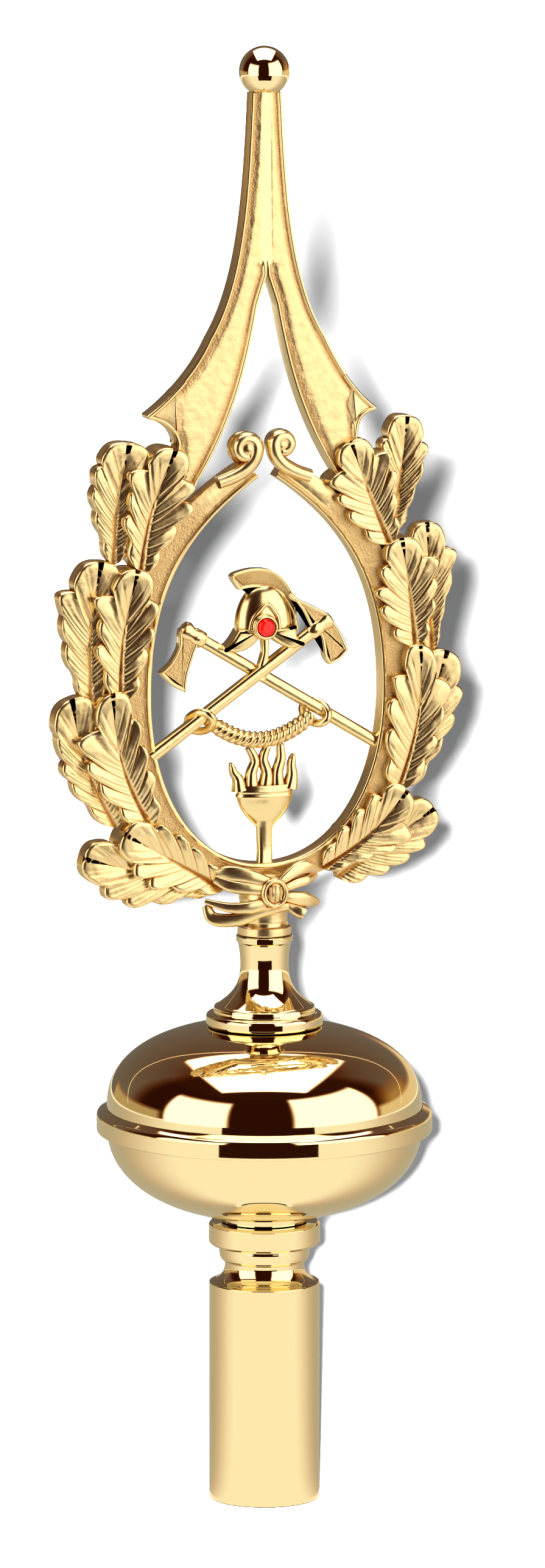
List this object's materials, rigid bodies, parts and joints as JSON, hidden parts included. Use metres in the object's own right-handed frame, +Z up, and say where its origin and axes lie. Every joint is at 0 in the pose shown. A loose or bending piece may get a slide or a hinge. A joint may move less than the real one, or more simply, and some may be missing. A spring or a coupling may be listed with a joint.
{
  "type": "flagpole finial",
  "caption": "Brass flagpole finial: a pole socket and belted ball carry a cast oval oak-leaf wreath with a spike, round a fire brigade emblem of helmet, crossed axes, rope and torch.",
  "frame": {"origin": "centre of the pole socket's open lower end, which is the bottom centre of the part", "axes": "+Z up along the pole, -Y out of the front of the wreath, +X to the right seen from the front"},
  "size_m": [0.14, 0.1092, 0.475],
  "materials": {
    "polished_brass": "turned or spun and polished to a mirror",
    "cast_brass": "cast, edges and high places polished, grounds left finely granulated",
    "red_glass": "opaque red cut glass, polished"
  },
  "bodies": {
    "root": {"pole_socket": "polished_brass", "ball_lower_half": "polished_brass", "ball_upper_half": "polished_brass", "spindle": "polished_brass", "wreath_head": "cast_brass", "emblem": "cast_brass", "red_stone": "red_glass", "top_ball": "polished_brass"}
  },
  "joints": []
}
